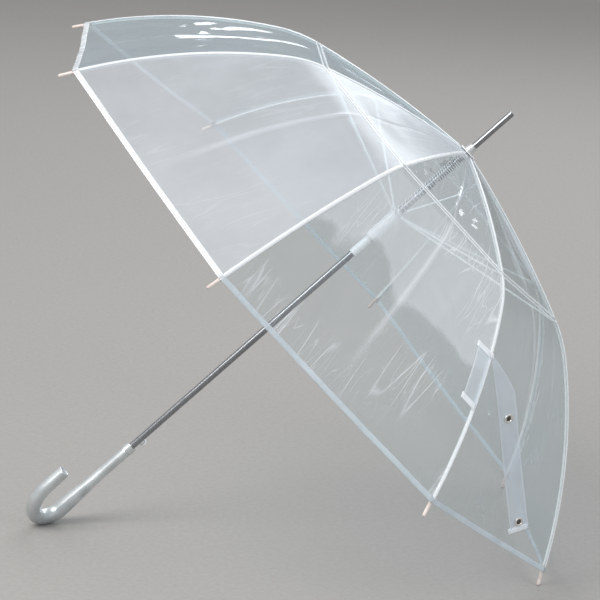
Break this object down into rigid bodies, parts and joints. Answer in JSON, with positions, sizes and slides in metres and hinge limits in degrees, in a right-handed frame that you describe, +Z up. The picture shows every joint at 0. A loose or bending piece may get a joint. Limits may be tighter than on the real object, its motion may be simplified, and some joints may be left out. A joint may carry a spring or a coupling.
{
  "type": "stick umbrella",
  "caption": "Clear film stick umbrella, open and lying on its rib tips, with a sprung runner, push button, closing strap and silver crook handle",
  "frame": {"origin": "middle of the footprint, on the ground that the open umbrella lies on", "axes": "+Z up, +X the level direction that the ferrule leans towards, +Y to the left of it; the shaft lies in the XZ plane"},
  "size_m": [0.7635, 0.9792, 0.7293],
  "materials": {
    "bright_steel": "bright plated steel tube",
    "spring_steel": "drawn wire",
    "white_plastic": "moulded white",
    "clear_plastic": "milky clear moulding",
    "button_white": "polished white",
    "collar_silver": "pale silver",
    "pearl_silver": "pearl silver lacquer",
    "rib_white": "white coated fibreglass",
    "stretcher_white": "white coated fibreglass",
    "clear_vinyl": "clear soft film",
    "strap_vinyl": "frosted soft film",
    "snap_steel": "plated press stud"
  },
  "bodies": {
    "shaft": {"shaft_tube": "bright_steel", "ferrule": "bright_steel", "ferrule_collar": "clear_plastic", "top_rosette": "clear_plastic", "crown": "white_plastic", "crown_ring": "spring_steel", "open_spring": "spring_steel", "runner_stop": "spring_steel", "handle_collar": "collar_silver", "crook_handle": "pearl_silver", "button_spring": "spring_steel"},
    "runner": {"runner": "white_plastic", "runner_ring": "spring_steel"},
    "button": {"push_button": "button_white", "catch_lever": "spring_steel"},
    "strap": {"strap": "strap_vinyl", "strap_snaps": "snap_steel"},
    "rib_inner_1": {"rib_inner_1": "rib_white", "film_inner_1": "clear_vinyl"},
    "rib_outer_1": {"rib_outer_1": "rib_white", "film_outer_1": "clear_vinyl"},
    "stretcher_1": {"stretcher_1": "stretcher_white"},
    "rib_inner_2": {"rib_inner_2": "rib_white", "film_inner_2": "clear_vinyl"},
    "rib_outer_2": {"rib_outer_2": "rib_white", "film_outer_2": "clear_vinyl"},
    "stretcher_2": {"stretcher_2": "stretcher_white"},
    "rib_inner_3": {"rib_inner_3": "rib_white", "film_inner_3": "clear_vinyl"},
    "rib_outer_3": {"rib_outer_3": "rib_white", "film_outer_3": "clear_vinyl"},
    "stretcher_3": {"stretcher_3": "stretcher_white"},
    "rib_inner_4": {"rib_inner_4": "rib_white", "film_inner_4": "clear_vinyl"},
    "rib_outer_4": {"rib_outer_4": "rib_white", "film_outer_4": "clear_vinyl"},
    "stretcher_4": {"stretcher_4": "stretcher_white"},
    "rib_inner_5": {"rib_inner_5": "rib_white", "film_inner_5": "clear_vinyl"},
    "rib_outer_5": {"rib_outer_5": "rib_white", "film_outer_5": "clear_vinyl"},
    "stretcher_5": {"stretcher_5": "stretcher_white"},
    "rib_inner_6": {"rib_inner_6": "rib_white", "film_inner_6": "clear_vinyl"},
    "rib_outer_6": {"rib_outer_6": "rib_white", "film_outer_6": "clear_vinyl"},
    "stretcher_6": {"stretcher_6": "stretcher_white"},
    "rib_inner_7": {"rib_inner_7": "rib_white", "film_inner_7": "clear_vinyl"},
    "rib_outer_7": {"rib_outer_7": "rib_white", "film_outer_7": "clear_vinyl"},
    "stretcher_7": {"stretcher_7": "stretcher_white"},
    "rib_inner_8": {"rib_inner_8": "rib_white", "film_inner_8": "clear_vinyl"},
    "rib_outer_8": {"rib_outer_8": "rib_white", "film_outer_8": "clear_vinyl"},
    "stretcher_8": {"stretcher_8": "stretcher_white"}
  },
  "joints": [
    {"name": "runner_slide", "type": "slide", "parent": "shaft", "child": "runner", "axis": [-0.7156, 0, -0.6985], "range_m": [0, 0.38736], "stiffness_N_per_m": 25, "springref_m": -0.4, "deforming": ["open_spring"]},
    {"name": "rib_1_fold", "type": "hinge", "parent": "shaft", "child": "rib_inner_1", "pos_m": [0.23825, 0.00383, 0.56413], "axis": [-0.2673, 0.9239, 0.2738], "range_deg": [0, 75.35], "deforming": ["film_inner_1"]},
    {"name": "rib_1_tip_fold", "type": "hinge", "parent": "rib_inner_1", "child": "rib_outer_1", "pos_m": [0.35838, 0.09986, 0.35741], "axis": [-0.2673, 0.9239, 0.2738], "range_deg": [-30.6, 0], "deforming": ["film_outer_1"]},
    {"name": "stretcher_1_fold", "type": "hinge", "parent": "rib_inner_1", "child": "stretcher_1", "pos_m": [0.35838, 0.09986, 0.35741], "axis": [-0.2673, 0.9239, 0.2738], "range_deg": [-148.53, 0]},
    {"name": "rib_2_fold", "type": "hinge", "parent": "shaft", "child": "rib_inner_2", "pos_m": [0.23447, 0.00924, 0.568], "axis": [-0.6454, 0.3827, 0.6611], "range_deg": [0, 75.35], "deforming": ["film_inner_2"]},
    {"name": "rib_2_tip_fold", "type": "hinge", "parent": "rib_inner_2", "child": "rib_outer_2", "pos_m": [0.25974, 0.24107, 0.45847], "axis": [-0.6454, 0.3827, 0.6611], "range_deg": [-30.6, 0], "deforming": ["film_outer_2"]},
    {"name": "stretcher_2_fold", "type": "hinge", "parent": "rib_inner_2", "child": "stretcher_2", "pos_m": [0.25974, 0.24107, 0.45847], "axis": [-0.6454, 0.3827, 0.6611], "range_deg": [-148.53, 0]},
    {"name": "rib_3_fold", "type": "hinge", "parent": "shaft", "child": "rib_inner_3", "pos_m": [0.22912, 0.00924, 0.57348], "axis": [-0.6454, -0.3827, 0.6611], "range_deg": [0, 75.35], "deforming": ["film_inner_3"]},
    {"name": "rib_3_tip_fold", "type": "hinge", "parent": "rib_inner_3", "child": "rib_outer_3", "pos_m": [0.12023, 0.24107, 0.60138], "axis": [-0.6454, -0.3827, 0.6611], "range_deg": [-30.6, 0], "deforming": ["film_outer_3"]},
    {"name": "stretcher_3_fold", "type": "hinge", "parent": "rib_inner_3", "child": "stretcher_3", "pos_m": [0.12023, 0.24107, 0.60138], "axis": [-0.6454, -0.3827, 0.6611], "range_deg": [-148.53, 0]},
    {"name": "rib_4_fold", "type": "hinge", "parent": "shaft", "child": "rib_inner_4", "pos_m": [0.22534, 0.00383, 0.57735], "axis": [-0.2673, -0.9239, 0.2738], "range_deg": [0, 75.35], "deforming": ["film_inner_4"]},
    {"name": "rib_4_tip_fold", "type": "hinge", "parent": "rib_inner_4", "child": "rib_outer_4", "pos_m": [0.02159, 0.09986, 0.70243], "axis": [-0.2673, -0.9239, 0.2738], "range_deg": [-30.6, 0], "deforming": ["film_outer_4"]},
    {"name": "stretcher_4_fold", "type": "hinge", "parent": "rib_inner_4", "child": "stretcher_4", "pos_m": [0.02159, 0.09986, 0.70243], "axis": [-0.2673, -0.9239, 0.2738], "range_deg": [-148.53, 0]},
    {"name": "rib_5_fold", "type": "hinge", "parent": "shaft", "child": "rib_inner_5", "pos_m": [0.22534, -0.00383, 0.57735], "axis": [0.2673, -0.9239, -0.2738], "range_deg": [0, 75.35], "deforming": ["film_inner_5"]},
    {"name": "rib_5_tip_fold", "type": "hinge", "parent": "rib_inner_5", "child": "rib_outer_5", "pos_m": [0.02159, -0.09986, 0.70243], "axis": [0.2673, -0.9239, -0.2738], "range_deg": [-30.6, 0], "deforming": ["film_outer_5"]},
    {"name": "stretcher_5_fold", "type": "hinge", "parent": "rib_inner_5", "child": "stretcher_5", "pos_m": [0.02159, -0.09986, 0.70243], "axis": [0.2673, -0.9239, -0.2738], "range_deg": [-148.53, 0]},
    {"name": "rib_6_fold", "type": "hinge", "parent": "shaft", "child": "rib_inner_6", "pos_m": [0.22912, -0.00924, 0.57348], "axis": [0.6454, -0.3827, -0.6611], "range_deg": [0, 75.35], "deforming": ["film_inner_6"]},
    {"name": "rib_6_tip_fold", "type": "hinge", "parent": "rib_inner_6", "child": "rib_outer_6", "pos_m": [0.12023, -0.24107, 0.60138], "axis": [0.6454, -0.3827, -0.6611], "range_deg": [-30.6, 0], "deforming": ["film_outer_6"]},
    {"name": "stretcher_6_fold", "type": "hinge", "parent": "rib_inner_6", "child": "stretcher_6", "pos_m": [0.12023, -0.24107, 0.60138], "axis": [0.6454, -0.3827, -0.6611], "range_deg": [-148.53, 0]},
    {"name": "rib_7_fold", "type": "hinge", "parent": "shaft", "child": "rib_inner_7", "pos_m": [0.23447, -0.00924, 0.568], "axis": [0.6454, 0.3827, -0.6611], "range_deg": [0, 75.35], "deforming": ["film_inner_7"]},
    {"name": "rib_7_tip_fold", "type": "hinge", "parent": "rib_inner_7", "child": "rib_outer_7", "pos_m": [0.25974, -0.24107, 0.45847], "axis": [0.6454, 0.3827, -0.6611], "range_deg": [-30.6, 0], "deforming": ["film_outer_7"]},
    {"name": "stretcher_7_fold", "type": "hinge", "parent": "rib_inner_7", "child": "stretcher_7", "pos_m": [0.25974, -0.24107, 0.45847], "axis": [0.6454, 0.3827, -0.6611], "range_deg": [-148.53, 0]},
    {"name": "rib_8_fold", "type": "hinge", "parent": "shaft", "child": "rib_inner_8", "pos_m": [0.23825, -0.00383, 0.56413], "axis": [0.2673, 0.9239, -0.2738], "range_deg": [0, 75.35], "deforming": ["film_inner_8"]},
    {"name": "rib_8_tip_fold", "type": "hinge", "parent": "rib_inner_8", "child": "rib_outer_8", "pos_m": [0.35838, -0.09986, 0.35741], "axis": [0.2673, 0.9239, -0.2738], "range_deg": [-30.6, 0], "deforming": ["film_outer_8"]},
    {"name": "stretcher_8_fold", "type": "hinge", "parent": "rib_inner_8", "child": "stretcher_8", "pos_m": [0.35838, -0.09986, 0.35741], "axis": [0.2673, 0.9239, -0.2738], "range_deg": [-148.53, 0]},
    {"name": "button_press", "type": "slide", "parent": "shaft", "child": "button", "axis": [-0.5351, -0.6428, 0.5482], "range_m": [0, 0.0026], "stiffness_N_per_m": 400, "springref_m": -0.002, "deforming": ["button_spring"]},
    {"name": "strap_swing", "type": "hinge", "parent": "rib_outer_7", "child": "strap", "pos_m": [0.25082, -0.34939, 0.38288], "axis": [-0.8974, -0.3995, -0.1874], "range_deg": [0, 60]}
  ],
  "couplings": [
    {"joint": "rib_1_fold", "follows": "runner_slide", "rad_per_m": 3.3944},
    {"joint": "rib_1_tip_fold", "follows": "runner_slide", "rad_per_m": -1.3783},
    {"joint": "stretcher_1_fold", "follows": "runner_slide", "rad_per_m": -6.6918},
    {"joint": "rib_2_fold", "follows": "runner_slide", "rad_per_m": 3.3944},
    {"joint": "rib_2_tip_fold", "follows": "runner_slide", "rad_per_m": -1.3783},
    {"joint": "stretcher_2_fold", "follows": "runner_slide", "rad_per_m": -6.6918},
    {"joint": "rib_3_fold", "follows": "runner_slide", "rad_per_m": 3.3944},
    {"joint": "rib_3_tip_fold", "follows": "runner_slide", "rad_per_m": -1.3783},
    {"joint": "stretcher_3_fold", "follows": "runner_slide", "rad_per_m": -6.6918},
    {"joint": "rib_4_fold", "follows": "runner_slide", "rad_per_m": 3.3944},
    {"joint": "rib_4_tip_fold", "follows": "runner_slide", "rad_per_m": -1.3783},
    {"joint": "stretcher_4_fold", "follows": "runner_slide", "rad_per_m": -6.6918},
    {"joint": "rib_5_fold", "follows": "runner_slide", "rad_per_m": 3.3944},
    {"joint": "rib_5_tip_fold", "follows": "runner_slide", "rad_per_m": -1.3783},
    {"joint": "stretcher_5_fold", "follows": "runner_slide", "rad_per_m": -6.6918},
    {"joint": "rib_6_fold", "follows": "runner_slide", "rad_per_m": 3.3944},
    {"joint": "rib_6_tip_fold", "follows": "runner_slide", "rad_per_m": -1.3783},
    {"joint": "stretcher_6_fold", "follows": "runner_slide", "rad_per_m": -6.6918},
    {"joint": "rib_7_fold", "follows": "runner_slide", "rad_per_m": 3.3944},
    {"joint": "rib_7_tip_fold", "follows": "runner_slide", "rad_per_m": -1.3783},
    {"joint": "stretcher_7_fold", "follows": "runner_slide", "rad_per_m": -6.6918},
    {"joint": "rib_8_fold", "follows": "runner_slide", "rad_per_m": 3.3944},
    {"joint": "rib_8_tip_fold", "follows": "runner_slide", "rad_per_m": -1.3783},
    {"joint": "stretcher_8_fold", "follows": "runner_slide", "rad_per_m": -6.6918}
  ]
}
